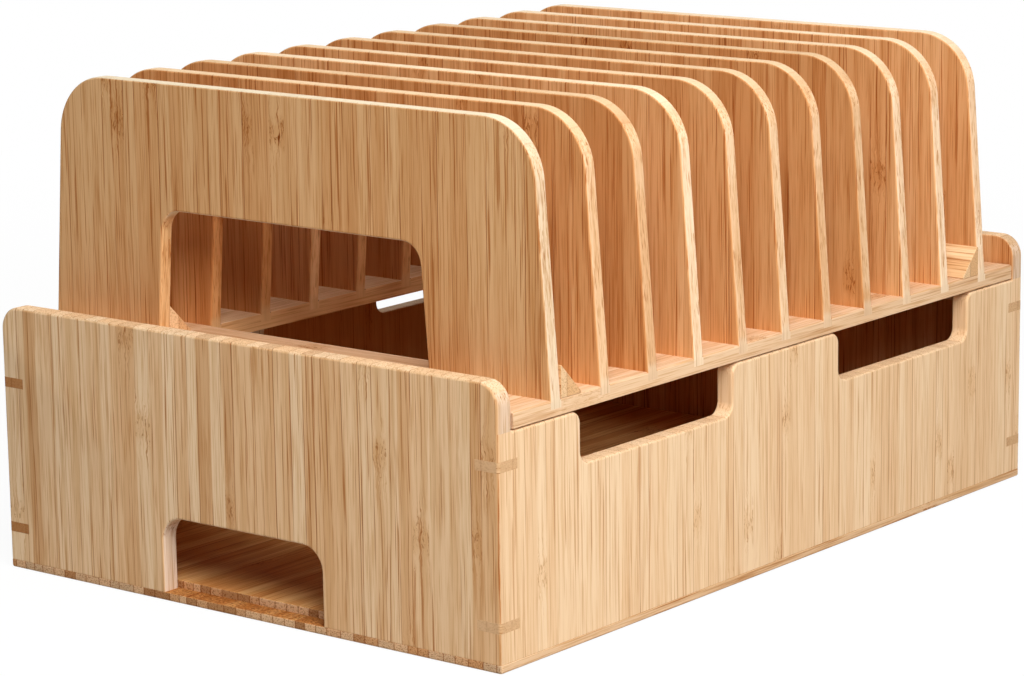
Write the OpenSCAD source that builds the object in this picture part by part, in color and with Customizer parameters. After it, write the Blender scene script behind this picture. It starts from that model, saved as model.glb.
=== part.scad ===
// Charging station organizer in bamboo: an open box that takes a power strip, and a rack that
// lifts off it, with a row of upright dividers whose arched windows pass the charging leads.
// Millimetres. The origin is the middle of the underside, +Y runs along the length to the rear
// end, and +Z is up. The front end, at -Y, has the cable hole.

/* [Box] */
// Width over the side walls
box_w = 250; // [220:1:300]
// Length over the end walls
box_l = 360; // [345:1:440]
// Height of the end walls' top edge
end_h = 106; // [100:1:130]
// Height of the side walls' top edge, which the rack rests on
side_h = 87.7; // [76:0.1:96]
// Thickness of the four walls
wall_t = 7.7; // [6:0.1:9]
// Radius of the end walls' top corners
end_r = 9; // [2:0.5:11]

/* [Bottom panel] */
// Thickness of the rim that the walls stand on
rim_t = 3.3; // [2.5:0.1:5]
// Rise of the panel's field inside the walls
field_rise = 3; // [1.5:0.1:6]
// Gap between the field and each wall
panel_gap = 0.2; // [0.1:0.05:0.6]

/* [Cable openings] */
// Width of the cable hole in the front end wall
hole_w = 81; // [50:1:110]
// Height of the cable hole's top above the underside
hole_h = 33.3; // [22:0.1:45]
// Radius of the cable hole's top corners
hole_r = 9.5; // [2:0.5:12]
// Length of the front notch in each side wall
front_notch_l = 96; // [60:1:110]
// Length of the rear notch in each side wall
rear_notch_l = 98; // [60:1:110]
// Distance from the middle of the box to the front notches' middle
front_notch_y = 84.2; // [70:0.1:95]
// Distance from the middle of the box to the rear notches' middle
rear_notch_y = 86.5; // [70:0.1:95]
// Depth of the notches below the side walls' top
notch_d = 20.2; // [12:0.1:26]
// Radius where a notch meets the top edge
notch_r_top = 4.5; // [1:0.5:5.5]
// Radius in the bottom corners of a notch
notch_r_low = 5; // [1:0.5:6]

/* [Corner keys] */
// Thickness of the keys that lock the mitred corners
key_t = 4; // [2.5:0.1:6]
// Length that a key shows on each face
key_leg = 10.8; // [7:0.1:11.5]
// Height of the lower keys' middle
key_low = 16.8; // [10:0.1:24]
// Depth of the upper keys' middle below the side walls' top
key_drop = 12.1; // [8:0.1:18]

/* [Rack] */
// Width of the two side rails
rail_w = 56.6; // [40:0.1:64]
// Thickness of the rails
rail_t = 6.6; // [5:0.1:9]
// Gap between the rack and each end wall
rack_gap = 1; // [0.5:0.1:2]
// Depth of the grooves that hold the dividers' legs
groove_d = 3.3; // [1.5:0.1:4.5]
// Height of the cleats under the rack's ends
cleat_h = 10; // [6:0.5:16]
// Width of the cleats under the rack's ends
cleat_w = 10; // [6:0.5:16]
// Gap between the cleats and each side wall
cleat_gap = 0.5; // [0.3:0.1:1.5]
// Legs of the triangular glue blocks at the first and last divider
block_leg = 12.5; // [8:0.5:16]

/* [Dividers] */
// Number of dividers
divider_count = 11; // [5:1:11]
// Distance from one divider to the next
pitch = 29.3; // [26:0.1:30]
// Thickness of a divider
divider_t = 6; // [4:0.1:8]
// Height of the dividers above the rails
divider_h = 100.7; // [80:0.1:130]
// Distance that each outer edge leans in over the divider's height
lean = 7.5; // [0:0.1:14]
// Radius of the dividers' top corners
divider_r = 24; // [6:0.5:30]
// Height of the windows above the rails
window_h = 51.2; // [30:0.1:60]
// Distance that each edge of a window leans in over its height
window_lean = 3.9; // [0:0.1:8]
// Radius of the windows' top corners
window_r = 9; // [2:0.5:14]

/* [Hidden] */
CORNERS = ["front_left", "front_right", "rear_left", "rear_right"];
SIGNS = [[-1, -1], [1, -1], [-1, 1], [1, 1]];

bamboo = [0.86, 0.68, 0.47];
pale_bamboo = [0.93, 0.80, 0.62];
warm_bamboo = [0.82, 0.58, 0.36];
brown_bamboo = [0.52, 0.36, 0.21];

arc_steps = 10;
over = 1;
half_w = box_w / 2;
half_l = box_l / 2;
rail_top = side_h + rail_t;
groove_z = rail_top - groove_d;
rack_half_l = half_l - wall_t - rack_gap;
gap_half_w = half_w - rail_w;
first_y = -(divider_count - 1) * pitch / 2;
cross_w = rack_half_l + first_y + pitch - divider_t / 2;
key_high = side_h - key_drop;

function key_name(c, upper) = str(CORNERS[c], upper ? "_upper_key" : "_lower_key");
function block_name(c) = str(CORNERS[c], "_glue_block");
function divider_name(i) = str("divider_", i < 9 ? "0" : "", i + 1);
function divider_y(i) = first_y + i * pitch;
function unit(v) = v / norm(v);
function turn(a) = a > 180 ? a - 360 : a < -180 ? a + 360 : a;

// Points of the arc that rounds corner q, between its neighbours p and s, to radius r
function corner(p, q, s, r) = r == 0 ? [q] :
    let (u = unit(p - q), v = unit(s - q), half = acos(u * v) / 2,
         centre = q + unit(u + v) * r / sin(half),
         from = q + u * r / tan(half) - centre,
         to = q + v * r / tan(half) - centre,
         a = atan2(from[1], from[0]),
         sweep = turn(atan2(to[1], to[0]) - a))
    [for (i = [0:arc_steps]) centre + r * [cos(a + sweep * i / arc_steps), sin(a + sweep * i / arc_steps)]];

// Outline through [x, y, radius] corners, each rounded to its own radius
function rounded(c) = [for (i = [0:len(c) - 1])
    let (n = len(c), p = c[(i + n - 1) % n], q = c[i], s = c[(i + 1) % n])
    each corner([p[0], p[1]], [q[0], q[1]], [s[0], s[1]], q[2])];

// Corners of a notch of length l in a side wall's top edge, with its middle at y
function notch(y, l) = let (low = side_h - notch_d)
    [[y + l / 2, side_h, notch_r_top], [y + l / 2, low, notch_r_low],
     [y - l / 2, low, notch_r_low], [y - l / 2, side_h, notch_r_top]];

function mirrored(c) = [for (i = [len(c) - 1:-1:0]) [-c[i][0], c[i][1], c[i][2]]];
function symmetric(c) = concat(c, mirrored(c));

// Board of thickness t whose outline lies across the box, with its middle at y
module cross_board(outline, y, t) {
    translate([0, y + t / 2, 0]) rotate([90, 0, 0]) linear_extrude(t) polygon(rounded(outline));
}

// Board of thickness t whose outline lies along the box, with its middle at x
module long_board(outline, x, t) {
    translate([x - t / 2, 0, 0]) rotate([90, 0, 90]) linear_extrude(t) polygon(rounded(outline));
}

// Prism at corner c of the box, where [u, v] is a point u in from the side wall's face and v in
// from the end wall's
module corner_prism(c, plan, z, h) {
    translate([0, 0, z]) linear_extrude(h)
        polygon([for (p = plan) [SIGNS[c][0] * (half_w - p[0]), SIGNS[c][1] * (half_l - p[1])]]);
}

// What lies past the 45 degree line of each corner: the side walls' half, or the end walls'
module past_mitre(side_half) {
    plan = [[0, 0], [wall_t, wall_t], [wall_t, wall_t + over], [-over, wall_t + over], [-over, 0]];
    z = rim_t - over;
    for (c = [0:3])
        corner_prism(c, side_half ? plan : [for (p = plan) [p[1], p[0]]], z,
            side_h - z + (side_half ? 0 : over));
}

module key(c, upper) {
    corner_prism(c, [[0, 0], [key_leg, 0], [0, key_leg]], (upper ? key_high : key_low) - key_t / 2, key_t);
}

module all_keys() {
    for (c = [0:3], upper = [false, true]) key(c, upper);
}

module end_wall(y, outline) {
    color(bamboo) difference() {
        cross_board(outline, y, wall_t);
        past_mitre(true);
        all_keys();
    }
}

module front_end_wall() {
    end_wall(-half_l + wall_t / 2, symmetric([
        [-hole_w / 2, hole_h, hole_r], [-hole_w / 2, rim_t, 0],
        [-half_w, rim_t, 0], [-half_w, end_h, end_r]]));
}

module rear_end_wall() {
    end_wall(half_l - wall_t / 2, symmetric([[-half_w, rim_t, 0], [-half_w, end_h, end_r]]));
}

module side_wall(x) {
    color(pale_bamboo) difference() {
        long_board(concat([[-half_l, rim_t, 0], [half_l, rim_t, 0], [half_l, side_h, 0]],
            notch(rear_notch_y, rear_notch_l), notch(-front_notch_y, front_notch_l),
            [[-half_l, side_h, 0]]), x, wall_t);
        past_mitre(false);
        all_keys();
    }
}

module left_side_wall() {
    side_wall(-half_w + wall_t / 2);
}

module right_side_wall() {
    side_wall(half_w - wall_t / 2);
}

module bottom_panel() {
    field_w = box_w - 2 * (wall_t + panel_gap);
    field_l = box_l - 2 * (wall_t + panel_gap);
    color(bamboo) union() {
        translate([-half_w, -half_l, 0]) cube([box_w, box_l, rim_t]);
        translate([-field_w / 2, -field_l / 2, 0]) cube([field_w, field_l, rim_t + field_rise]);
    }
}

module corner_key(c, upper) {
    color(brown_bamboo) key(c, upper);
}

module side_rail(x) {
    color(pale_bamboo) difference() {
        translate([x - rail_w / 2, -rack_half_l, side_h]) cube([rail_w, 2 * rack_half_l, rail_t]);
        for (i = [0:divider_count - 1])
            translate([x - rail_w / 2 - over, divider_y(i) - divider_t / 2, groove_z])
                cube([rail_w + 2 * over, divider_t, groove_d + over]);
    }
}

module left_rail() {
    side_rail(-half_w + rail_w / 2);
}

module right_rail() {
    side_rail(half_w - rail_w / 2);
}

// Board between the side rails, from the rack's end to the face of the second divider
module cross_rail(y) {
    color(warm_bamboo) translate([-gap_half_w, y, side_h]) cube([2 * gap_half_w, cross_w, rail_t]);
}

module front_cross_rail() {
    cross_rail(-rack_half_l);
}

module rear_cross_rail() {
    cross_rail(rack_half_l - cross_w);
}

// Bar under one end of the rack, which ties the rails together and drops between the side walls
module cleat(y) {
    half = half_w - wall_t - cleat_gap;
    color(warm_bamboo) translate([-half, y, side_h - cleat_h]) cube([2 * half, cleat_w, cleat_h]);
}

module front_cleat() {
    cleat(-rack_half_l);
}

module rear_cleat() {
    cleat(rack_half_l - cleat_w);
}

module divider(i) {
    color(warm_bamboo) cross_board(symmetric([
        [-gap_half_w + window_lean, rail_top + window_h, window_r], [-gap_half_w, rail_top, 0],
        [-gap_half_w, groove_z, 0], [-half_w, groove_z, 0],
        [-half_w, rail_top, 0], [-half_w + lean, rail_top + divider_h, divider_r]]),
        divider_y(i), divider_t);
}

// Triangular strip in the corner between a side rail and the first or last divider
module glue_block(c) {
    y = SIGNS[c][1] * (-first_y - divider_t / 2);
    toward = -SIGNS[c][1] * block_leg;
    color(pale_bamboo) translate([SIGNS[c][0] * (half_w - rail_w / 2) - rail_w / 2, 0, 0])
        rotate([90, 0, 90]) linear_extrude(rail_w)
            polygon([[y, rail_top], [y + toward, rail_top], [y, rail_top + block_leg]]);
}

bottom_panel();
front_end_wall();
rear_end_wall();
left_side_wall();
right_side_wall();
for (c = [0:3], upper = [false, true])
    corner_key(c, upper);
left_rail();
right_rail();
front_cross_rail();
rear_cross_rail();
front_cleat();
rear_cleat();
for (i = [0:divider_count - 1])
    divider(i);
for (c = [0:3])
    glue_block(c);
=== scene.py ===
import math

import bpy
import numpy as np
from mathutils import Matrix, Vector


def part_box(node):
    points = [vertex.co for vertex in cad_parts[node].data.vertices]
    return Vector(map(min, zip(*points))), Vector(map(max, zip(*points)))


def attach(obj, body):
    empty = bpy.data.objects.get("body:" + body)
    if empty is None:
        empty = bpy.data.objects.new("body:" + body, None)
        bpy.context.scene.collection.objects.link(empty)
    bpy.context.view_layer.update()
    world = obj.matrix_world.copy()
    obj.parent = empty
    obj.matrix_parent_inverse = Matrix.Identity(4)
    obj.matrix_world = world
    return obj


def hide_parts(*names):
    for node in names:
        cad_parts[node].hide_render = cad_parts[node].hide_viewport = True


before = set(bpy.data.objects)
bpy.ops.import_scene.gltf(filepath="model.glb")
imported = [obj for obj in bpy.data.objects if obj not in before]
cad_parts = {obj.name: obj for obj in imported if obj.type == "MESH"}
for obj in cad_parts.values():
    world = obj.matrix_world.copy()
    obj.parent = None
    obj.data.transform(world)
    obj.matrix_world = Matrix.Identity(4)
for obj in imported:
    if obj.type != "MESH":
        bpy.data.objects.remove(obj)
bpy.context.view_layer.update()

# Charging station organizer in bamboo: a box with mitred walls, and a lift-off rack of dividers.
# Lengths are in millimetres until putBoard writes a mesh in metres.

millimetre = 0.001
print("frame loaded:", len(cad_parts), "nodes")


# Camera, at the photograph's place

cameraPlan = {
    "place": (880.11, -1118.24, 372.51),
    "azimuth": 38.57,        # degrees round from looking along +Y
    "elevation": 11.729,
    "roll": -0.816,
    "lens": 124.0,
    "sensor": 36,
    "clip": (0.05, 50),       # metres
}


def setCamera(plan):
    azimuth, elevation, roll = (math.radians(plan[k]) for k in ("azimuth", "elevation", "roll"))
    back = np.array([math.sin(azimuth) * math.cos(elevation),
                     -math.cos(azimuth) * math.cos(elevation), math.sin(elevation)])
    right = np.cross(-back, (0, 0, 1))
    right /= np.linalg.norm(right)
    up = np.cross(right, -back)
    turned = math.cos(roll) * right + math.sin(roll) * up
    upright = math.cos(roll) * up - math.sin(roll) * right
    camera = bpy.data.objects.new("photoCamera", bpy.data.cameras.new("photoCamera"))
    camera.data.lens = plan["lens"]
    camera.data.sensor_width = plan["sensor"]
    camera.data.clip_start, camera.data.clip_end = plan["clip"]
    pose = np.eye(4)
    pose[:3, 0], pose[:3, 1], pose[:3, 2] = turned, upright, back
    pose[:3, 3] = np.array(plan["place"]) * millimetre
    camera.matrix_world = Matrix(pose.tolist())
    bpy.context.scene.collection.objects.link(camera)
    bpy.context.scene.camera = camera


setCamera(cameraPlan)
print("camera set")


# Wiring helper for node trees

class NodeDesk:
    def __init__(self, tree):
        self.tree = tree

    def put(self, kind, inputs=None, **settings):
        node = self.tree.nodes.new(kind if kind.startswith("NodeGroup") else "ShaderNode" + kind)
        for name, value in settings.items():
            setattr(node, name, value)
        for name, value in (inputs or {}).items():
            self.feed(node.inputs[name], value)
        return node

    def feed(self, socket, value):
        if isinstance(value, bpy.types.NodeSocket):
            self.tree.links.new(value, socket)
        elif socket.type == "RGBA" and len(value) == 3:
            socket.default_value = (*value, 1)
        else:
            socket.default_value = value

    def calc(self, operation, *values, clamp=False):
        return self.put("Math", dict(enumerate(values)), operation=operation, use_clamp=clamp).outputs[0]

    # smooth step: value from low to high becomes start to end
    def ramp(self, value, low, high, start=0.0, end=1.0):
        inputs = {0: value, 1: low, 2: high, 3: start, 4: end}
        return self.put("MapRange", inputs, interpolation_type="SMOOTHSTEP").outputs[0]

    # smooth step down: 1 below low and 0 above high
    def fade(self, value, low, high):
        return self.ramp(value, low, high, 1.0, 0.0)

    def blend(self, share, first, second, way="MIX"):
        node = self.put("Mix", {0: share, 6: first, 7: second}, data_type="RGBA", blend_type=way)
        return node.outputs[2]

    # share of the way from a colour to that colour times a tint
    def tint(self, share, colour, factor):
        return self.blend(share, colour, factor, "MULTIPLY")

    # colour ramp through (position, colour) stops
    def bands(self, value, stops):
        node = self.put("ValToRGB", {0: value})
        elements = node.color_ramp.elements
        for _ in stops[2:]:
            elements.new(0.5)
        for element, (position, colour) in zip(elements, stops):
            element.position = position
            element.color = (*colour, 1)
        return node.outputs[0]

    # noise drawn out along the grain: each part of the place is divided by its own size, then shifted
    def grain(self, place, sizes, shift, detail, roughness=0.5, distortion=0.0):
        parts = [self.calc("MULTIPLY_ADD", part, 1 / size, shift) for part, size in zip(place, sizes)]
        moved = self.put("CombineXYZ", dict(enumerate(parts))).outputs[0]
        noise = self.put("TexNoise", {"Vector": moved, "Scale": 1.0, "Detail": detail, "Roughness": roughness,
                                      "Distortion": distortion})
        return noise.outputs[0]


# the emptied node tree of a material or world
def clearedDesk(owner):
    owner.use_nodes = True
    owner.node_tree.nodes.clear()
    return NodeDesk(owner.node_tree)


# Bamboo, shared by every board

bambooInputs = {
    "Base": (0.80, 0.50, 0.28, 1),
    "Edge Tint": (1.0, 1.0, 1.0, 1),     # on the board's narrow long sides
    "End Tint": (1.0, 1.0, 1.0, 1),      # on its end grain
    "Painted Inside Shade": (1.0, 1.0, 1.0, 1),    # painted shade on the face that looks into the box
    "Strip Width": 6.0,                  # millimetres
    "Strip Contrast": 1.0,
    "Streak Strength": 1.0,
    "Fibre Strength": 1.0,
    "Line Strength": 1.0,
    "Node Strength": 1.0,
    "Node Spacing": 380.0,               # millimetres
    "End Contrast": 1.0,
    "Pore Strength": 0.5,
}
bambooTints = {
    "strips": [(0.0, (0.80, 0.68, 0.55)), (0.14, (0.88, 0.78, 0.66)), (0.36, (0.95, 0.90, 0.83)),
               (0.66, (1.02, 1.07, 1.11)), (1.0, (1.06, 1.15, 1.24))],
    "ends": [(0.0, (0.52, 0.38, 0.27)), (0.30, (0.84, 0.69, 0.53)), (0.6, (1.0, 1.0, 1.0)),
             (1.0, (0.82, 0.86, 0.90))],
    "drift": (0.86, 0.77, 0.65),
    "streak": (0.72, 0.56, 0.40),
    "pale": (1.05, 1.10, 1.15),
    "fibre": (0.83, 0.72, 0.59),
    "line": (0.66, 0.46, 0.31),
    "glue": (0.58, 0.38, 0.25),
    "band": (0.93, 0.86, 0.77),
    "fleck": (0.60, 0.42, 0.27),
    "pore": (0.60, 0.46, 0.33),
}


# noises on the board: sizes across, through and along the grain in millimetres, and a shift that parts them
bambooNoises = {
    "wander": {"sizes": (40, 40, 70), "shift": 3.7, "detail": 1},
    "swell": {"sizes": (1.8, 1.8, 6), "shift": 11.3, "detail": 2},
    "curl": {"sizes": (2.2, 2.2, 5.0), "shift": 21.9, "detail": 2},
    "broad": {"sizes": (4.2, 4.2, 150), "shift": 5.1, "detail": 3, "roughness": 0.6},
    "streak": {"sizes": (1.9, 1.9, 60), "shift": 31.7, "detail": 4, "roughness": 0.66},
    "fibre": {"sizes": (0.62, 0.62, 30), "shift": 43.3, "detail": 2, "roughness": 0.6},
    "hair": {"sizes": (0.80, 0.80, 70), "shift": 57.9, "detail": 2, "roughness": 0.6},
    "speck": {"sizes": (0.50, 0.50, 2.6), "shift": 71.1, "detail": 2, "distortion": 0.5},
    "pore": {"sizes": (0.55, 0.55, 3.0), "shift": 83.7, "detail": 1},
    "crowd": {"sizes": (11, 11, 80), "shift": 63.1, "detail": 1},
    "fading": {"sizes": (5, 5, 90), "shift": 91.3, "detail": 1},
}
# values between which each mark comes in, or fades where it is one that fades
bambooSteps = {
    "endGrain": (0.45, 0.85),        # share of the surface's facing that lies along the grain
    "insideShadeShare": (0.6, 0.9),         # share that looks into the box, which gets the painted shade
    "longEdge": (0.35, 0.85),        # share that lies through the board
    "band": (2.0, 8.5),              # millimetres from the middle of a growth node
    "curl": (5.0, 24.0),
    "drift": (0.44, 0.64),
    "pale": (0.47, 0.34),
    "streak": (0.53, 0.66),
    "crowd": (0.40, 0.60),
    "fibre": (0.50, 0.66),
    "hair": (0.60, 0.66),
    "glue": (0.06, 0.30),            # millimetres from a strip's border
    "endGlue": (0.08, 0.40),
    "fading": (0.50, 0.62),
    "fleck": (0.55, 0.63),
    "pore": (0.50, 0.64),
}
bambooAmounts = {
    "wander": 1.4,                   # millimetres that the strips' borders wander
    "unevenness": 0.9,               # of the strips' widths
    "softness": 0.22,                # with which one strip's tone meets the next
    "nodeShift": 7.0,                # node spacings over which the strips' growth nodes are spread
    "nodeSwell": 12.0,               # millimetres that a band at a growth node wanders
    "curl": 3.0,                     # millimetres that the fibres bend beside it
    "fewStreaks": 0.15,              # share of the streaks where they don't crowd
    "edgeGlue": 0.25,                # share of the glue lines on the narrow long sides
    "edgeBand": 0.2,                 # share of the growth nodes' bands there
    "fibreRelief": 0.5,
    "glueRelief": 0.8,
    "fleckRelief": 0.5,
    "poreRelief": 0.8,
    "roughness": 0.58,
    "fibreRoughness": 0.16,          # more on the fibres
    "endRoughness": 0.12,            # more on the end grain
}


def makeBambooGroup(tints, noises, steps, amounts):
    tree = bpy.data.node_groups.new("bambooBoard", "ShaderNodeTree")
    for name, value in bambooInputs.items():
        kind = "NodeSocketColor" if isinstance(value, tuple) else "NodeSocketFloat"
        tree.interface.new_socket(name, in_out="INPUT", socket_type=kind).default_value = value
    for name in ("Color", "Roughness", "Height", "Long Edge"):
        kind = "NodeSocketColor" if name == "Color" else "NodeSocketFloat"
        tree.interface.new_socket(name, in_out="OUTPUT", socket_type=kind)
    desk = NodeDesk(tree)
    given = desk.put("NodeGroupInput").outputs

    def share(mask, strength):
        return desk.calc("MULTIPLY", mask, given[strength], clamp=True)

    def stored(attribute):
        return desk.put("Attribute", attribute_name=attribute).outputs["Vector"]

    # cosine of the angle between the surface's facing and a stored way
    def facing(attribute):
        ways = {0: desk.put("TexCoord").outputs["Normal"], 1: stored(attribute)}
        return desk.put("VectorMath", ways, operation="DOT_PRODUCT").outputs["Value"]

    # boardPlace is the distance across the strips, through the board and along the grain
    across, through, along = desk.put("SeparateXYZ", {0: stored("boardPlace")}).outputs
    straight = (across, through, along)

    # where the surface faces along the grain, into the box, or neither way
    endMask = desk.ramp(desk.calc("ABSOLUTE", facing("grainWay")), *steps["endGrain"])
    inward = facing("inwardWay")
    insideShadeShare = desk.ramp(inward, *steps["insideShadeShare"])
    longEdge = desk.calc("MULTIPLY", desk.fade(desk.calc("ABSOLUTE", inward), *steps["longEdge"]),
                         desk.calc("SUBTRACT", 1, endMask))

    # strips: cells on a line across the board, whose borders wander a little along the grain
    wander = desk.grain(straight, **noises["wander"])
    bent = desk.calc("MULTIPLY_ADD", wander, amounts["wander"], across)
    oneLine = {"W": desk.calc("DIVIDE", bent, given["Strip Width"]), "Scale": 1.0,
               "Randomness": amounts["unevenness"]}
    softLine = {**oneLine, "Smoothness": amounts["softness"]}
    strip = desk.put("TexVoronoi", oneLine, voronoi_dimensions="1D", feature="F1")
    softStrip = desk.put("TexVoronoi", softLine, voronoi_dimensions="1D", feature="SMOOTH_F1")
    border = desk.put("TexVoronoi", oneLine, voronoi_dimensions="1D", feature="DISTANCE_TO_EDGE")
    _, endChance, nodeChance = desk.put("SeparateColor", {0: strip.outputs["Color"]}).outputs
    toneChance = desk.put("SeparateColor", {0: softStrip.outputs["Color"]}).outputs[0]
    borderGap = desk.calc("MULTIPLY", border.outputs["Distance"], given["Strip Width"])

    # growth nodes: one band along each strip, at a place of the strip's own, round which the fibres curl
    turns = desk.calc("ADD", desk.calc("DIVIDE", along, given["Node Spacing"]),
                      desk.calc("MULTIPLY", nodeChance, amounts["nodeShift"]))
    fromMiddle = desk.calc("SUBTRACT", desk.calc("FRACT", turns), 0.5)
    fromMiddle = desk.calc("MULTIPLY", fromMiddle, given["Node Spacing"])
    swell = desk.grain(straight, **noises["swell"])
    swell = desk.calc("MULTIPLY_ADD", swell, amounts["nodeSwell"], -amounts["nodeSwell"] / 2)
    fromBand = desk.calc("ABSOLUTE", desk.calc("ADD", fromMiddle, swell))
    curl = desk.grain(straight, **noises["curl"])
    curl = desk.calc("MULTIPLY_ADD", curl, amounts["curl"], -amounts["curl"] / 2)
    bend = desk.calc("MULTIPLY", curl, desk.fade(fromBand, *steps["curl"]))
    curled = (desk.calc("ADD", bent, bend), through, along)

    # fibres: noise drawn out along the grain, from broad drifts to hairs; streaks crowd in some places
    broad, streak, fibre, hair, speck = [
        desk.grain(curled, **noises[name]) for name in ("broad", "streak", "fibre", "hair", "speck")]
    crowd = desk.grain((bent, through, along), **noises["crowd"])
    crowd = desk.ramp(crowd, *steps["crowd"], amounts["fewStreaks"], 1)
    streaked = desk.calc("MULTIPLY", desk.ramp(streak, *steps["streak"]), crowd)

    # long grain
    # the board's tone, which also carries painted light and shade on some boards
    plain = desk.tint(1.0, given["Base"], stored("boardToneAndPaintedLight"))
    colour = desk.tint(given["Strip Contrast"], plain, desk.bands(toneChance, tints["strips"]))
    colour = desk.tint(share(desk.ramp(broad, *steps["drift"]), "Strip Contrast"), colour, tints["drift"])
    colour = desk.tint(share(desk.ramp(streak, *steps["pale"]), "Streak Strength"), colour, tints["pale"])
    colour = desk.tint(share(streaked, "Streak Strength"), colour, tints["streak"])
    colour = desk.tint(share(desk.ramp(fibre, *steps["fibre"]), "Fibre Strength"), colour, tints["fibre"])
    colour = desk.tint(share(desk.ramp(hair, *steps["hair"]), "Line Strength"), colour, tints["line"])

    # glue lines at some of the strips' borders, fading in and out along the grain
    fading = desk.grain(straight, **noises["fading"])
    line = desk.calc("MULTIPLY", desk.fade(borderGap, *steps["glue"]), desk.ramp(fading, *steps["fading"]))
    onEdge = desk.ramp(longEdge, 0, 1, 1, amounts["edgeGlue"])
    line = desk.calc("MULTIPLY", share(line, "Line Strength"), onEdge)
    colour = desk.tint(line, colour, tints["glue"])

    # bands at the growth nodes
    band = share(desk.fade(fromBand, *steps["band"]), "Node Strength")
    band = desk.calc("MULTIPLY", band, desk.ramp(longEdge, 0, 1, 1, amounts["edgeBand"]))
    fleck = desk.calc("MULTIPLY", desk.ramp(speck, *steps["fleck"]), band)
    colour = desk.tint(fleck, desk.tint(band, colour, tints["band"]), tints["fleck"])
    colour = desk.tint(longEdge, colour, given["Edge Tint"])

    # end grain: blocks of their own tone, with pores and glue lines
    toned = desk.tint(1.0, plain, desk.bands(endChance, tints["ends"]))
    blocks = desk.blend(given["End Contrast"], plain, toned)
    pores = share(desk.ramp(desk.grain(straight, **noises["pore"]), *steps["pore"]), "Pore Strength")
    blocks = desk.tint(pores, blocks, tints["pore"])
    blocks = desk.tint(share(desk.fade(borderGap, *steps["endGlue"]), "Pore Strength"), blocks, tints["glue"])
    colour = desk.blend(endMask, colour, desk.tint(1.0, blocks, given["End Tint"]))
    # painted shade on the faces that look into the box; on the bottom panel's top it is warm painted bounce
    # light and shade
    colour = desk.tint(insideShadeShare, colour, given["Painted Inside Shade"])

    # relief and roughness follow the same marks
    lowered = [desk.calc("MULTIPLY", mark, -amounts[depth]) for mark, depth in (
        (fibre, "fibreRelief"), (line, "glueRelief"), (fleck, "fleckRelief"), (pores, "poreRelief"))]
    longRelief = desk.calc("ADD", desk.calc("ADD", lowered[0], lowered[1]), lowered[2])
    relief = desk.put("Mix", {0: endMask, 2: longRelief, 3: lowered[3]}, data_type="FLOAT").outputs[0]
    dull = desk.calc("MULTIPLY_ADD", fibre, amounts["fibreRoughness"], amounts["roughness"])
    dull = desk.calc("MULTIPLY_ADD", endMask, amounts["endRoughness"], dull)

    out = desk.put("NodeGroupOutput")
    for name, result in {"Color": colour, "Roughness": dull, "Height": relief, "Long Edge": longEdge}.items():
        desk.feed(out.inputs[name], result)
    return tree


bambooGroup = makeBambooGroup(bambooTints, bambooNoises, bambooSteps, bambooAmounts)

# the inside tints paint shade on the walls' faces that look into the box, and warm bounce light and shade on
# the bottom panel's top
finishes = {
    "end_bamboo": {
        "Base": (0.84, 0.565, 0.33, 1), "Edge Tint": (1.05, 1.23, 1.65, 1), "End Tint": (1.02, 1.09, 1.16, 1),
        "Painted Inside Shade": (0.86, 0.66, 0.50, 1), "Strip Width": 6.6, "Strip Contrast": 0.8,
        "Streak Strength": 0.6, "Line Strength": 1.15, "Node Spacing": 520.0, "Node Strength": 0.75,
        "End Contrast": 0.45, "Pore Strength": 0.6},
    "side_bamboo": {
        "Base": (0.90, 0.635, 0.39, 1), "Painted Inside Shade": (0.72, 0.50, 0.31, 1), "Strip Width": 5.6,
        "Strip Contrast": 0.32, "Streak Strength": 0.34, "Fibre Strength": 0.65, "Line Strength": 0.75,
        "Node Strength": 0.6, "Node Spacing": 500.0, "End Contrast": 0.3},
    "panel_bamboo": {
        "Base": (0.78, 0.49, 0.275, 1), "Painted Inside Shade": (1.02, 0.84, 0.55, 1), "Strip Width": 6.0,
        "Pore Strength": 0.9},
    "rail_bamboo": {
        "Base": (0.80, 0.52, 0.315, 1), "Edge Tint": (1.12, 1.20, 1.25, 1), "Strip Width": 6.5,
        "Strip Contrast": 0.35, "Streak Strength": 0.5, "Line Strength": 0.5},
    "divider_bamboo": {
        "Base": (0.75, 0.375, 0.154, 1), "Edge Tint": (1.27, 1.74, 2.65, 1),
        "End Tint": (1.17, 1.74, 2.70, 1), "Strip Width": 6.4, "Strip Contrast": 0.6,
        "Streak Strength": 0.65, "Node Spacing": 600.0, "End Contrast": 0.15, "Pore Strength": 0.2},
    "block_bamboo": {
        "Base": (0.88, 0.58, 0.32, 1), "Strip Contrast": 0.5, "End Contrast": 0.6, "Pore Strength": 0.5},
    "key_bamboo": {
        "Base": (0.71, 0.44, 0.235, 1), "Strip Width": 9.0, "Strip Contrast": 0.5, "End Contrast": 0.0,
        "Pore Strength": 0.3},
}
gloss = {"level": 0.05, "bump": 0.6, "relief": 0.00018}      # relief in metres
# paler, whiter colour on the legs' narrow sides at and just above the rail's top; heights in metres
footHaze = {"full": 0.0950, "none": 0.0985, "share": 0.45, "colour": (0.86, 0.67, 0.46)}
# painted warm bounce shade on the sides of the leads' way down the rack's middle, up to this far from the
# middle, in metres
bounceShadePlan = {"reach": (0.0690, 0.0715), "sideways": (0.5, 0.9), "tint": (0.96, 0.78, 0.56)}
# sawn top of the bottom panel's rim, below this height in metres
rimSaw = {
    "below": 0.0045,
    "upward": (0.6, 0.9),
    "speckScale": 900.0,
    "speckSteps": (0.46, 0.58),
    "plain": (0.80, 0.70, 0.60),
    "dark": (0.46, 0.34, 0.25),
}
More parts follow.
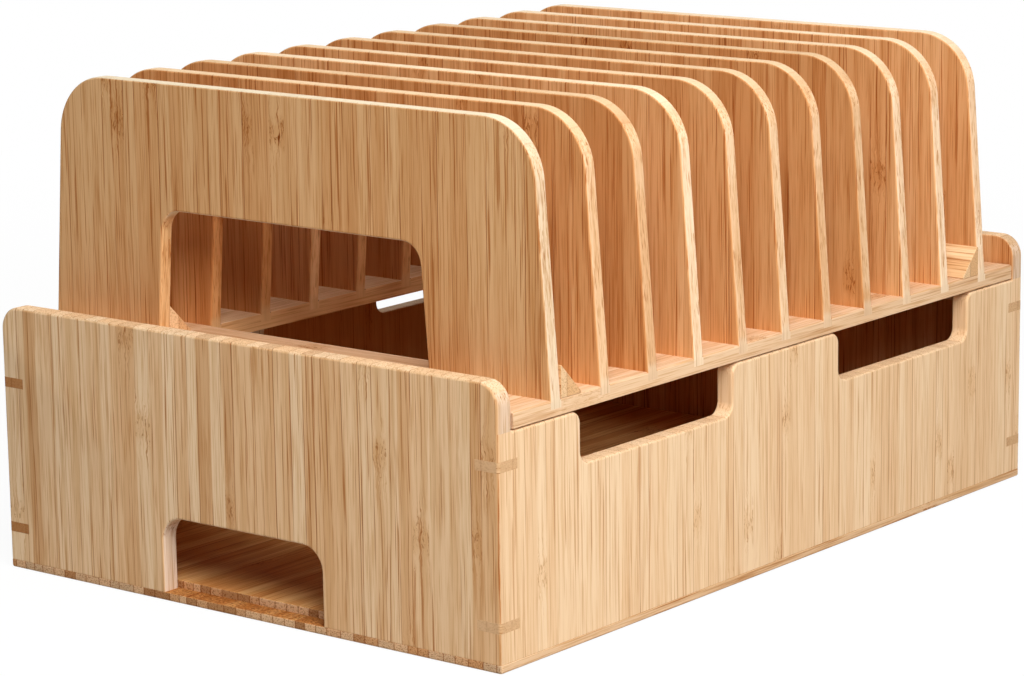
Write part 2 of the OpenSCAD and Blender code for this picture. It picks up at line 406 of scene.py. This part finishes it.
# glue line along the mitred corners, in metres
seamPlan = {
    "halfWidth": 0.125,
    "halfLength": 0.180,
    "top": 0.0877,
    "width": (0.00018, 0.00045),
    "reach": (0.0015, 0.003),
    "patchScale": 110.0,
    "patchSteps": (0.35, 0.6),
    "faintest": 0.25,
    "tint": (0.74, 0.52, 0.34),
}


# place and facing, each in its three parts
def placeAndFacing(desk):
    spot = desk.put("TexCoord").outputs
    return [desk.put("SeparateXYZ", {0: spot[name]}).outputs for name in ("Object", "Normal")]


def evenNoise(desk, scale):
    spot = desk.put("TexCoord").outputs["Object"]
    return desk.put("TexNoise", {"Vector": spot, "Scale": scale, "Detail": 2.0}).outputs[0]


# a divider's colour, paler on its narrow sides near the rail
def hazeFoot(desk, colour, longEdge, plan):
    height = placeAndFacing(desk)[0][2]
    haze = desk.ramp(height, plan["full"], plan["none"], plan["share"], 0)
    return desk.blend(desk.calc("MULTIPLY", haze, longEdge), colour, plan["colour"])


# the rack's colour, with warm bounce shade painted on the sides that face the leads' way
def paintBounceShade(desk, colour, plan):
    place, facing = placeAndFacing(desk)
    near = desk.fade(desk.calc("ABSOLUTE", place[0]), *plan["reach"])
    sideways = desk.ramp(desk.calc("ABSOLUTE", facing[0]), *plan["sideways"])
    return desk.tint(desk.calc("MULTIPLY", near, sideways), colour, plan["tint"])


# the panel's colour, rough and darker where the rim faces up
def roughenRim(desk, colour, plan):
    place, facing = placeAndFacing(desk)
    rimTop = desk.calc("MULTIPLY", desk.ramp(facing[2], *plan["upward"]),
                       desk.calc("LESS_THAN", place[2], plan["below"]))
    speck = desk.ramp(evenNoise(desk, plan["speckScale"]), *plan["speckSteps"])
    return desk.tint(rimTop, colour, desk.blend(speck, plan["plain"], plan["dark"]))


# a wall's colour, darker where it is about as far in from one face of the corner as from the other
def drawSeam(desk, colour, plan):
    x, y, z = placeAndFacing(desk)[0]
    fromSide = desk.calc("SUBTRACT", plan["halfWidth"], desk.calc("ABSOLUTE", x))
    fromEnd = desk.calc("SUBTRACT", plan["halfLength"], desk.calc("ABSOLUTE", y))
    off = desk.calc("ABSOLUTE", desk.calc("SUBTRACT", fromSide, fromEnd))
    seam = desk.calc("MULTIPLY", desk.fade(off, *plan["width"]),
                     desk.fade(desk.calc("MAXIMUM", fromSide, fromEnd), *plan["reach"]))
    seam = desk.calc("MULTIPLY", seam, desk.calc("LESS_THAN", z, plan["top"]))
    patchy = desk.ramp(evenNoise(desk, plan["patchScale"]), *plan["patchSteps"], plan["faintest"], 1)
    return desk.tint(desk.calc("MULTIPLY", seam, patchy), colour, plan["tint"])


def makeBamboo(slotName, values):
    material = bpy.data.materials.new(slotName.replace("_bamboo", "Bamboo"))
    desk = clearedDesk(material)
    board = desk.put("Group", node_tree=bambooGroup)
    for name, value in values.items():
        board.inputs[name].default_value = value
    colour = board.outputs["Color"]
    if slotName == "divider_bamboo":
        colour = hazeFoot(desk, colour, board.outputs["Long Edge"], footHaze)
    # painted warm bounce shade on the rack's sides that face its middle
    if slotName in ("divider_bamboo", "rail_bamboo"):
        colour = paintBounceShade(desk, colour, bounceShadePlan)
    if slotName == "panel_bamboo":
        colour = roughenRim(desk, colour, rimSaw)
    if slotName in ("end_bamboo", "side_bamboo"):
        colour = drawSeam(desk, colour, seamPlan)
    bump = desk.put("Bump", {"Strength": gloss["bump"], "Distance": gloss["relief"],
                             "Height": board.outputs["Height"]})
    skin = desk.put("BsdfPrincipled", {"Base Color": colour, "Roughness": board.outputs["Roughness"],
                                       "Normal": bump.outputs[0], "Specular IOR Level": gloss["level"]})
    out = desk.put("OutputMaterial")
    desk.feed(out.inputs["Surface"], skin.outputs[0])
    return material


bamboos = {slotName: makeBamboo(slotName, values) for slotName, values in finishes.items()}
print("bamboo finishes made:", len(bamboos))


# Board maker

boardPlan = {
    "leastArc": 0.25,                        # radius that an outer corner keeps at its deepest inset
    "seedStep": (137.31, 11.7, 271.9),       # how far a seed of 1 moves the grain
    "sharpAngle": 38,                        # degrees
    "flatWeight": 100,                       # how far large faces lead when normals are weighted
}
axisX, axisY, axisZ = np.eye(3)


# Inset of an edge rounded at both faces: each arris is a quarter circle, so the inset is its radius less the
# root of the radius squared less the square of what is left of the radius at that depth
def eased(depth, thickness, outer, inner):
    near = np.clip(outer - depth, 0, None)
    far = np.clip(inner - (thickness - depth), 0, None)
    return (outer - np.sqrt(outer**2 - near**2)) + (inner - np.sqrt(inner**2 - far**2))


# Inset of a 45 degree mitre: the depth itself, past the half of the rounded corner that this board carries
def mitred(depth, radius):
    near = np.clip(radius - depth, 0, None)
    half = radius * (1 - math.sqrt(0.5))
    return np.where(depth < half + 1e-9, radius - np.sqrt(radius**2 - near**2), depth)


# Depths of the rings: at even turns round each arris, from the outer face to the inner
def depthSteps(thickness, outer, inner, steps=4):
    turn = np.cos(np.linspace(0, math.pi / 2, steps + 1))
    return np.concatenate([outer * (1 - turn), (thickness - inner * (1 - turn))[::-1]])


# Rings of an outline: each edge's line is moved inward by that edge's inset, and a corner is where two moved
# lines cross; its arc's radius shrinks by the inset on an outer corner and grows by it on an inner one
def ringSet(corners, insets, arcSteps):
    points = np.array([corner[:2] for corner in corners], float)
    leaving = np.roll(points, -1, 0) - points
    length = np.linalg.norm(leaving, axis=1, keepdims=True)
    leaving = leaving / np.maximum(length, 1e-9)
    # a shoulder has no length, and lies square to the edge before it
    square = np.roll(leaving, 1, 0)[:, ::-1] * (-1, 1)
    leaving = np.where(length > 1e-9, leaving, square)
    inward = np.stack([-leaving[:, 1], leaving[:, 0]], 1)
    rings = []
    for i, (_, _, radius, kind) in enumerate(corners):
        first, second = inward[i - 1], inward[i]
        d0, d1 = insets[corners[i - 1][3]], insets[kind]
        across = first[0] * second[1] - first[1] * second[0]
        if abs(across) < 1e-6:
            corner = points[i] + d1[:, None] * second
        else:
            moved = np.stack([d0 * second[1] - d1 * first[1], first[0] * d1 - second[0] * d0], 1)
            corner = points[i] + moved / across
        if radius == 0:
            rings.append(corner[:, None, :])
            continue
        back, ahead = -leaving[i - 1], leaving[i]
        half = math.acos(np.clip(back @ ahead, -1, 1)) / 2
        bisector = (back + ahead) / np.linalg.norm(back + ahead)
        mean = (d0 + d1) / 2
        arc = np.maximum(radius - mean, boardPlan["leastArc"]) if across > 0 else radius + mean
        middle = corner + bisector * (arc / math.sin(half))[:, None]
        start = back / math.tan(half) - bisector / math.sin(half)
        end = ahead / math.tan(half) - bisector / math.sin(half)
        begin = math.atan2(start[1], start[0])
        sweep = (math.atan2(end[1], end[0]) - begin + math.pi) % (2 * math.pi) - math.pi
        angles = begin + sweep * np.linspace(0, 1, arcSteps + 1)
        circle = np.stack([np.cos(angles), np.sin(angles)], 1)
        rings.append(middle[:, None, :] + arc[:, None, None] * circle)
    return np.concatenate(rings, 1)


# A closed board: the outline's rings, carried through its thickness and capped at both faces
def putBoard(name, node, body, slotName, corners, depths, insets, axes, origin, grain, seed, arcSteps=10,
             tone=(1, 1, 1)):
    rings = ringSet(corners, insets, arcSteps)
    uAxis, vAxis, depthAxis = (np.asarray(axis, float) for axis in axes)
    ringCount, pointCount = rings.shape[:2]
    place = (np.asarray(origin, float) + rings[..., :1] * uAxis + rings[..., 1:] * vAxis
             + depths[:, None, None] * depthAxis).reshape(-1, 3)
    index = np.arange(ringCount * pointCount).reshape(ringCount, pointCount)
    ahead = np.roll(index, -1, 1)
    quads = np.stack([index[:-1], ahead[:-1], ahead[1:], index[1:]], -1).reshape(-1, 4)
    caps = [index[0, ::-1].tolist(), index[-1].tolist()]
    if np.cross(uAxis, vAxis) @ depthAxis < 0:
        quads, caps = quads[:, ::-1], [cap[::-1] for cap in caps]
    mesh = bpy.data.meshes.new(name)
    mesh.from_pydata((place * millimetre).tolist(), [], quads.tolist() + caps)

    # place in the board's own measure, moved by the seed so that no two boards match
    grainAxes = np.array(grain, float)
    boardPlace = place @ grainAxes.T + seed * np.array(boardPlan["seedStep"])
    inward = np.array(grain[1]) * (np.sign(np.dot(grain[1], depthAxis)) or 1)
    everywhere = (len(place), 1)
    stored = {"boardPlace": boardPlace, "grainWay": np.tile(grainAxes[2], everywhere),
              "inwardWay": np.tile(inward, everywhere), "boardToneAndPaintedLight": np.tile(tone, everywhere)}
    for attribute, values in stored.items():
        layer = mesh.attributes.new(attribute, "FLOAT_VECTOR", "POINT")
        layer.data.foreach_set("vector", values.astype(np.float32).ravel())

    mesh.polygons.foreach_set("use_smooth", [True] * len(mesh.polygons))
    mesh.set_sharp_from_angle(angle=math.radians(boardPlan["sharpAngle"]))
    mesh.materials.append(bamboos[slotName])
    board = bpy.data.objects.new(name, mesh)
    bpy.context.scene.collection.objects.link(board)
    weighted = board.modifiers.new("faceWeight", "WEIGHTED_NORMAL")
    weighted.keep_sharp = True
    weighted.weight = boardPlan["flatWeight"]
    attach(board, body)
    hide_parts(node)


# Lowest and highest corner of a CAD node, in millimetres
def spanOf(node):
    low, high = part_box(node)
    return np.array(low) / millimetre, np.array(high) / millimetre


# Walls of the box

wallPlan = {
    "skin": 0.04,            # the walls' outer faces lie this far inside the keys' faces
    "outerArris": 1.2,
    "innerArris": 0.8,
    "seam": 0.16,            # arris where a wall stands on the rim
    "topRadius": 9.0,        # end walls' top corners
    "holeWidth": 81.0,
    "holeTop": 33.3,
    "holeRadius": 9.5,
    "holeArris": 0.9,
    "notches": ((86.5, 98.0), (-84.2, 96.0)),     # middle and length of the rear one and the front one
    "notchDepth": 20.2,
    "notchTopRadius": 4.5,
    "notchLowRadius": 5.0,
    "notchArris": 0.8,
}


def wallRings(plan, thickness):
    depths = depthSteps(thickness, plan["outerArris"], plan["innerArris"])
    insets = {
        "edge": eased(depths, thickness, plan["outerArris"], plan["innerArris"]),
        "seam": eased(depths, thickness, plan["seam"], plan["seam"]),
        "hole": eased(depths, thickness, plan["holeArris"], plan["innerArris"]),
        "notch": eased(depths, thickness, plan["notchArris"], plan["notchArris"]),
        "mitre": mitred(depths, plan["outerArris"]),
        "shoulder": np.zeros(len(depths)),
    }
    return depths, insets


# An end wall: a rectangle with rounded top corners, mitred up to the side walls' height and square above it,
# with the cable hole's arch let up from its foot
def makeEndWall(name, node, side, plan, sideTop, hole, seed):
    low, high = spanOf(node)
    halfWidth, bottom, top = high[0] - plan["skin"], low[2], high[2]
    thickness = high[1] - low[1] - plan["skin"]
    foot = [(-halfWidth, bottom, 0, "seam")]
    if hole:
        halfHole, holeTop, radius = plan["holeWidth"] / 2, plan["holeTop"], plan["holeRadius"]
        foot += [(-halfHole, bottom, 0, "hole"), (-halfHole, holeTop, radius, "hole"),
                 (halfHole, holeTop, radius, "hole"), (halfHole, bottom, 0, "seam")]
    corners = foot + [
        (halfWidth, bottom, 0, "mitre"), (halfWidth, sideTop, 0, "shoulder"), (halfWidth, sideTop, 0, "edge"),
        (halfWidth, top, plan["topRadius"], "edge"), (-halfWidth, top, plan["topRadius"], "edge"),
        (-halfWidth, sideTop, 0, "shoulder"), (-halfWidth, sideTop, 0, "mitre")]
    depths, insets = wallRings(plan, thickness)
    outer = (high[1] if side > 0 else low[1]) - side * plan["skin"]
    putBoard(name, node, "box", "end_bamboo", corners, depths, insets, (axisX, axisZ, -side * axisY),
             (0, outer, 0), (axisX, axisY, axisZ), seed, arcSteps=12)


# A side wall: a rectangle that is mitred at both ends, with the notches let down from its top
def makeSideWall(name, node, side, plan, seed):
    low, high = spanOf(node)
    halfLength, bottom, top = high[1] - plan["skin"], low[2], high[2]
    thickness = high[0] - low[0] - plan["skin"]
    sill, crownRadius, sillRadius = top - plan["notchDepth"], plan["notchTopRadius"], plan["notchLowRadius"]
    mitreEnd = halfLength - thickness
    corners = [(-halfLength, bottom, 0, "seam"), (halfLength, bottom, 0, "mitre"),
               (halfLength, top, 0, "shoulder"), (mitreEnd, top, 0, "shoulder"), (mitreEnd, top, 0, "edge")]
    for middle, length in plan["notches"]:
        far, near = middle + length / 2, middle - length / 2
        corners += [(far, top, crownRadius, "notch"), (far, sill, sillRadius, "notch"),
                    (near, sill, sillRadius, "notch"), (near, top, crownRadius, "edge")]
    corners += [(-mitreEnd, top, 0, "shoulder"), (-mitreEnd, top, 0, "shoulder"),
                (-halfLength, top, 0, "mitre")]
    depths, insets = wallRings(plan, thickness)
    outer = (high[0] if side > 0 else low[0]) - side * plan["skin"]
    putBoard(name, node, "box", "side_bamboo", corners, depths, insets, (axisY, axisZ, -side * axisX),
             (outer, 0, 0), (axisY, axisX, axisZ), seed, arcSteps=8)


sideTop = spanOf("right_side_wall")[1][2]
makeEndWall("endWallFront", "front_end_wall", -1, wallPlan, sideTop, hole=True, seed=1)
makeEndWall("endWallRear", "rear_end_wall", 1, wallPlan, sideTop, hole=False, seed=2)
makeSideWall("sideWallLeft", "left_side_wall", -1, wallPlan, seed=3)
makeSideWall("sideWallRight", "right_side_wall", 1, wallPlan, seed=4)
print("walls made")


# Bottom panel

panelPlan = {
    "rim": 3.3,
    "fieldInset": 7.9,
    "footArris": 0.9,
    "rimArris": 0.35,
    "fieldArris": 0.4,
    "cornerRadius": 1.2,
    "seed": 5,
}


# The panel: a rectangle, with its profile carried round it as insets: up the foot's arris and the rim's,
# across the rim, and up round the field's arris
def makePanel(plan):
    x, y, top = spanOf("bottom_panel")[1]
    turn = np.linspace(0, math.pi / 2, 5)
    rise, run = 1 - np.sin(turn), 1 - np.cos(turn)
    foot, edge, field = plan["footArris"], plan["rimArris"], plan["fieldArris"]
    rim, inset = plan["rim"], plan["fieldInset"]
    depths = np.concatenate([foot * run, rim - edge * rise, [rim], top - field * rise])
    insets = np.concatenate([foot * rise, edge * run, [inset], inset + field * run])
    signs = ((-1, -1), (1, -1), (1, 1), (-1, 1))
    corners = [(sx * x, sy * y, plan["cornerRadius"], "rim") for sx, sy in signs]
    putBoard("bottomPanel", "bottom_panel", "box", "panel_bamboo", corners, depths, {"rim": insets},
             (axisX, axisY, axisZ), (0, 0, 0), (axisX, axisZ, axisY), plan["seed"], arcSteps=4)


makePanel(panelPlan)
print("bottom panel made")


# Keys across the mitred corners

keyPlan = {
    "leg": 10.8,
    "arris": 0.06,
    "cornerRadius": 1.2,
    "paintedShadeTone": (0.66, 0.49, 0.34),       # painted shade: darker and browner keys on the left, which face away from the lamps
    "seed": 10,
    "upperSeed": 0.5,
}
cornerSigns = {"front_left": (-1, -1), "front_right": (1, -1), "rear_left": (-1, 1), "rear_right": (1, 1)}


# A key: a right triangle seen from above, with its square corner at the box's, carried through its thickness
def makeKeys(plan):
    for number, (corner, (sx, sy)) in enumerate(cornerSigns.items()):
        for level in ("lower", "upper"):
            node = f"{corner}_{level}_key"
            low, high = spanOf(node)
            x, y = (high[0] if sx > 0 else low[0]), (high[1] if sy > 0 else low[1])
            corners = [(x, y, plan["cornerRadius"], "key"), (x - sx * plan["leg"], y, 0, "key"),
                       (x, y - sy * plan["leg"], 0, "key")]
            if sx * sy < 0:
                corners.reverse()
            depths = depthSteps(high[2] - low[2], plan["arris"], plan["arris"], steps=2)
            insets = {"key": eased(depths, high[2] - low[2], plan["arris"], plan["arris"])}
            grain = (np.array([sx, sy, 0]) / math.sqrt(2), axisZ, np.array([-sy, sx, 0]) / math.sqrt(2))
            first, second = corner.split("_")
            keyName = first + second.capitalize() + level.capitalize() + "Key"
            seed = plan["seed"] + number + (plan["upperSeed"] if level == "upper" else 0)
            # the keys on the left carry the painted shade tone
            putBoard(keyName, node, "box", "key_bamboo", corners, depths, insets, (axisX, axisY, axisZ),
                     (0, 0, low[2]), grain, seed, arcSteps=5, tone=plan["paintedShadeTone"] if sx < 0 else (1, 1, 1))


makeKeys(keyPlan)
print("corner keys made")


# Rails, cross rails and cleats of the rack

railPlan = {
    "topArris": 0.8,
    "underArris": 0.3,
    "innerArris": 0.3,       # on the side that faces the leads' way
    "endRadius": 0.7,
    "grooveDepth": 3.3,
    "grooveWidth": 6.0,
    "rebateWidth": 4.0,      # shallow step under the outer edge, a dark line above the side wall
    "rebateDepth": 0.5,
    "seed": 20,
}
crossPlan = {"freeArris": 0.6, "gluedArris": 0.1, "seed": 22}
cleatPlan = {"arris": 1.0, "seed": 24}
dividerNodes = sorted(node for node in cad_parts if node.startswith("divider_"))
dividerPlaces = [spanOf(node)[0][1] + railPlan["grooveWidth"] / 2 for node in dividerNodes]


# A side rail: its side view, a long bar with a groove for each divider, carried across its width
def makeSideRail(name, node, side, plan, seed):
    low, high = spanOf(node)
    bottom, top, halfLength, half = low[2], high[2], high[1], plan["grooveWidth"] / 2
    deep = top - plan["grooveDepth"]
    corners = [(-halfLength, bottom, 0, "under"), (halfLength, bottom, 0, "end"),
               (halfLength, top, plan["endRadius"], "top")]
    for y in dividerPlaces[::-1]:
        corners += [(y + half, top, 0, "groove"), (y + half, deep, 0, "groove"),
                    (y - half, deep, 0, "groove"), (y - half, top, 0, "top")]
    corners += [(-halfLength, top, plan["endRadius"], "end")]
    width = high[0] - low[0]
    depths = depthSteps(width, plan["topArris"], plan["topArris"])
    depths = np.insert(depths, len(depths) // 2, [plan["rebateWidth"]] * 2)
    step = np.where(np.arange(len(depths)) < len(depths) // 2, plan["rebateDepth"], 0)
    under = eased(depths, width, plan["underArris"], plan["innerArris"])
    insets = {"top": eased(depths, width, plan["topArris"], plan["innerArris"]), "under": under + step,
              "end": under, "groove": np.zeros(len(depths))}
    outer = high[0] if side > 0 else low[0]
    putBoard(name, node, "rack", "rail_bamboo", corners, depths, insets, (axisY, axisZ, -side * axisX),
             (outer, 0, 0), (axisX, axisZ, axisY), seed, arcSteps=4)


# A cross rail or cleat: a rectangle carried through its thickness, with its free edges more rounded
def makeCrossBoard(name, node, free, glued, seed):
    low, high = spanOf(node)
    thickness = high[2] - low[2]
    corners = [(low[0], low[1], 0, "free"), (high[0], low[1], 0, "glued"), (high[0], high[1], 0, "free"),
               (low[0], high[1], 0, "glued")]
    depths = depthSteps(thickness, max(free, glued), max(free, glued))
    insets = {"free": eased(depths, thickness, free, free), "glued": eased(depths, thickness, glued, glued)}
    putBoard(name, node, "rack", "rail_bamboo", corners, depths, insets, (axisX, axisY, axisZ),
             (0, 0, low[2]), (axisY, axisZ, axisX), seed)


makeSideRail("railLeft", "left_rail", -1, railPlan, railPlan["seed"])
makeSideRail("railRight", "right_rail", 1, railPlan, railPlan["seed"] + 1)
for number, end in enumerate(("front", "rear")):
    makeCrossBoard("crossRail" + end.capitalize(), end + "_cross_rail", crossPlan["freeArris"],
                   crossPlan["gluedArris"], crossPlan["seed"] + number)
    makeCrossBoard("cleat" + end.capitalize(), end + "_cleat", cleatPlan["arris"], cleatPlan["arris"],
                   cleatPlan["seed"] + number)
print("rails made")


# Dividers

dividerPlan = {
    "arris": 0.9,
    "railTop": 94.3,
    "lean": 7.5,             # each outer edge leans in this far over the divider's height
    "topRadius": 24.0,
    "windowHalf": 68.4,
    "windowTop": 145.5,
    "windowLean": 3.9,
    "windowRadius": 9.0,
    "flushBelow": 93.8,      # the legs' edges are square where they fill the grooves
    "firstTone": (0.92, 1.04, 1.16),
    # of the other boards, from the front: partly their own tones, partly painted light, the rear boards
    # lighter to make up for the lamps' light falling off there; a darker board is also a redder one
    "tonesAndPaintedLight": (0.95, 0.88, 1.05, 0.97, 0.93, 0.93, 0.87, 1.01, 1.06, 1.06),
    "redness": (1, 1.7, 2.6),
    "seed": 30,
}


# A divider: two legs that lean in, under a head with rounded corners, round the arched window between them
def makeDivider(number, node, plan):
    low, high = spanOf(node)
    foot, top, half = low[2], high[2], high[0]
    thickness = high[1] - low[1]
    inner, shoulder = plan["windowHalf"], plan["railTop"]
    headHalf, archHalf, flush = half - plan["lean"], inner - plan["windowLean"], plan["flushBelow"]
    head, arch = plan["topRadius"], plan["windowRadius"]
    corners = [
        (-half, foot, 0, "foot"), (-inner, foot, 0, "foot"), (-inner, flush, 0, "foot"),
        (-inner, flush, 0, "leg"), (-inner, shoulder, 0, "leg"), (-archHalf, plan["windowTop"], arch, "leg"),
        (archHalf, plan["windowTop"], arch, "leg"), (inner, shoulder, 0, "leg"), (inner, flush, 0, "foot"),
        (inner, flush, 0, "foot"), (inner, foot, 0, "foot"), (half, foot, 0, "foot"),
        (half, flush, 0, "foot"), (half, flush, 0, "leg"), (half, shoulder, 0, "leg"),
        (headHalf, top, head, "leg"), (-headHalf, top, head, "leg"), (-half, shoulder, 0, "leg"),
        (-half, flush, 0, "foot"), (-half, flush, 0, "foot")]
    depths = depthSteps(thickness, plan["arris"], plan["arris"])
    insets = {"leg": eased(depths, thickness, plan["arris"], plan["arris"]), "foot": np.zeros(len(depths))}
    # each board's tone, with painted light on the rear boards
    tone = plan["firstTone"] if number == 1 else np.array(plan["tonesAndPaintedLight"][number - 2]) ** plan["redness"]
    putBoard(f"divider{number:02d}", node, "rack", "divider_bamboo", corners, depths, insets,
             (axisX, axisZ, axisY), (0, low[1], 0), (axisX, axisY, axisZ), plan["seed"] + number, arcSteps=18,
             tone=tone)


for number, node in enumerate(dividerNodes, 1):
    makeDivider(number, node, dividerPlan)
print("dividers made:", len(dividerNodes))


# Glue blocks behind the first divider and before the last

blockPlan = {"arris": 0.35, "tipRadius": 0.4, "seed": 50}


# A glue block: its side view, a right triangle against the rail and the divider, carried across its width
def makeBlocks(plan):
    for number, (end, side) in enumerate((e, s) for e in ("front", "rear") for s in ("left", "right")):
        node = f"{end}_{side}_glue_block"
        low, high = spanOf(node)
        upright, tip = (low[1], high[1]) if end == "front" else (high[1], low[1])
        corners = [(upright, low[2], 0, "glued"), (tip, low[2], plan["tipRadius"], "slope"),
                   (upright, high[2], plan["tipRadius"], "glued")]
        if end == "rear":
            corners = [(upright, low[2], 0, "glued"), (upright, high[2], plan["tipRadius"], "slope"),
                       (tip, low[2], plan["tipRadius"], "glued")]
        width, arris = high[0] - low[0], plan["arris"]
        depths = depthSteps(width, arris, arris)
        insets = {"slope": eased(depths, width, arris, arris), "glued": np.zeros(len(depths))}
        outer, way = (high[0], -axisX) if side == "right" else (low[0], axisX)
        putBoard(f"{end}{side.capitalize()}GlueBlock", node, "rack", "block_bamboo", corners, depths, insets,
                 (axisY, axisZ, way), (outer, 0, 0), (axisY, axisZ, axisX), plan["seed"] + number, arcSteps=3)


makeBlocks(blockPlan)
print("glue blocks made")


# Studio: pale floor, white surroundings and soft lamps

studioPlan = {
    "floorSize": 9.0,        # metres
    "floorDrop": 0.0002,     # metres that the floor lies under the box
    "floorColour": (0.48, 0.48, 0.48),
    "floorWhite": 0.93,      # share of plain white seen near the object; the rest keeps its shadow
    "whitening": (0.35, 1.1),        # metres from the middle over which the floor turns all white
    "sky": 0.08,
}
lampPlan = [
    # name, place, what it faces, size, watts
    ("lampKey", (0.85, -0.62, 1.05), (0, 0, 0.08), 1.1, 26.2),
    ("lampTop", (0.10, -0.05, 1.40), (0, 0, 0.10), 0.6, 2.4),
    ("lampBack", (-0.95, 1.15, 0.65), (0, 0, 0.08), 1.1, 9.0),
]


# 1 for rays from the camera, and for mirror and glass rays, so that gloss shows the same white
def seenDirectly(desk):
    rays = desk.put("LightPath").outputs
    share = desk.calc("MAXIMUM", rays["Is Camera Ray"], rays["Is Glossy Ray"])
    return desk.calc("MAXIMUM", share, rays["Is Transmission Ray"])


# Floor: one square, paper to the lamps and nearly plain white to the camera
def makeFloor(plan):
    half, height = plan["floorSize"] / 2, -plan["floorDrop"]
    square = [(x * half, y * half, height) for x, y in ((-1, -1), (1, -1), (1, 1), (-1, 1))]
    mesh = bpy.data.meshes.new("floor")
    mesh.from_pydata(square, [], [(0, 1, 2, 3)])
    floor = bpy.data.objects.new("floor", mesh)
    bpy.context.scene.collection.objects.link(floor)
    material = bpy.data.materials.new("floorPaper")
    desk = clearedDesk(material)
    seen = seenDirectly(desk)
    paper = desk.put("BsdfDiffuse", {"Color": desk.blend(seen, plan["floorColour"], (1, 1, 1))})
    white = desk.put("Emission", {"Color": (1, 1, 1), "Strength": 1.0})
    spot = desk.put("TexCoord").outputs["Object"]
    reach = desk.put("VectorMath", {0: spot}, operation="LENGTH").outputs["Value"]
    whiteness = desk.ramp(reach, *plan["whitening"], plan["floorWhite"], 1)
    both = desk.put("MixShader", {0: desk.calc("MULTIPLY", seen, whiteness), 1: paper.outputs[0],
                                  2: white.outputs[0]})
    desk.feed(desk.put("OutputMaterial").inputs["Surface"], both.outputs[0])
    mesh.materials.append(material)


# Surroundings: white to the camera, and a dim even sky to the object
def makeSky(plan):
    world = bpy.data.worlds.new("studioWorld")
    bpy.context.scene.world = world
    desk = clearedDesk(world)
    sky = desk.put("Background", {"Color": (1, 1, 1), "Strength": plan["sky"]})
    bright = desk.put("Background", {"Color": (1, 1, 1), "Strength": 1.0})
    both = desk.put("MixShader", {0: seenDirectly(desk), 1: sky.outputs[0], 2: bright.outputs[0]})
    desk.feed(desk.put("OutputWorld").inputs["Surface"], both.outputs[0])


# Lamps: round soft boxes, each turned so that its back is away from what it faces
def makeLamps(lamps):
    for name, place, target, size, watts in lamps:
        lamp = bpy.data.lights.new(name, "AREA")
        lamp.shape, lamp.size, lamp.energy = "DISK", size, watts
        holder = bpy.data.objects.new(name, lamp)
        away = np.array(place) - np.array(target)
        away /= np.linalg.norm(away)
        side = np.cross((0, 0, 1), away)
        side /= np.linalg.norm(side)
        pose = np.eye(4)
        pose[:3, 0], pose[:3, 1], pose[:3, 2], pose[:3, 3] = side, np.cross(away, side), away, place
        holder.matrix_world = Matrix(pose.tolist())
        bpy.context.scene.collection.objects.link(holder)


makeFloor(studioPlan)
makeSky(studioPlan)
makeLamps(lampPlan)
bpy.context.scene.view_settings.view_transform = "Standard"
print("studio made")
